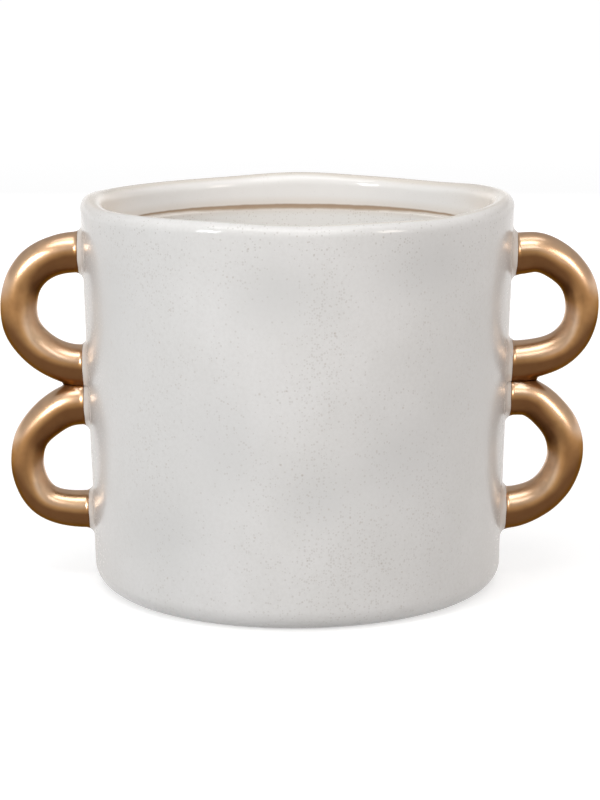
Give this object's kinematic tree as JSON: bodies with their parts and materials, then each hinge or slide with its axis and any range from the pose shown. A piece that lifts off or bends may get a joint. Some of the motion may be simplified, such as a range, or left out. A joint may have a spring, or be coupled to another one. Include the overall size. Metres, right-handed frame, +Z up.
{
  "type": "cachepot",
  "caption": "White glazed ceramic cachepot, a wide cylinder with a soft wavy rim and a pair of stacked gold loop handles on each side.",
  "frame": {"origin": "on the vessel's axis, on the plane of the foot ring that it stands on", "axes": "+Z up; +X through the middle of the right-hand pair of loops, which lie in the XZ plane; -Y is the front"},
  "size_m": [0.2785, 0.2001, 0.1822],
  "materials": {
    "white_glaze": "glossy off-white glaze with fine brown speckles, matte and speckled inside below the ledge, bare clay on the foot ring",
    "gold_lustre": "satin bronze-gold lustre painted over the glaze"
  },
  "bodies": {
    "root": {"pot_body": "white_glaze", "left_upper_loop": "gold_lustre", "left_lower_loop": "gold_lustre", "left_top_collar": "white_glaze", "left_middle_collar": "white_glaze", "left_bottom_collar": "white_glaze", "right_upper_loop": "gold_lustre", "right_lower_loop": "gold_lustre", "right_top_collar": "white_glaze", "right_middle_collar": "white_glaze", "right_bottom_collar": "white_glaze"}
  },
  "joints": []
}
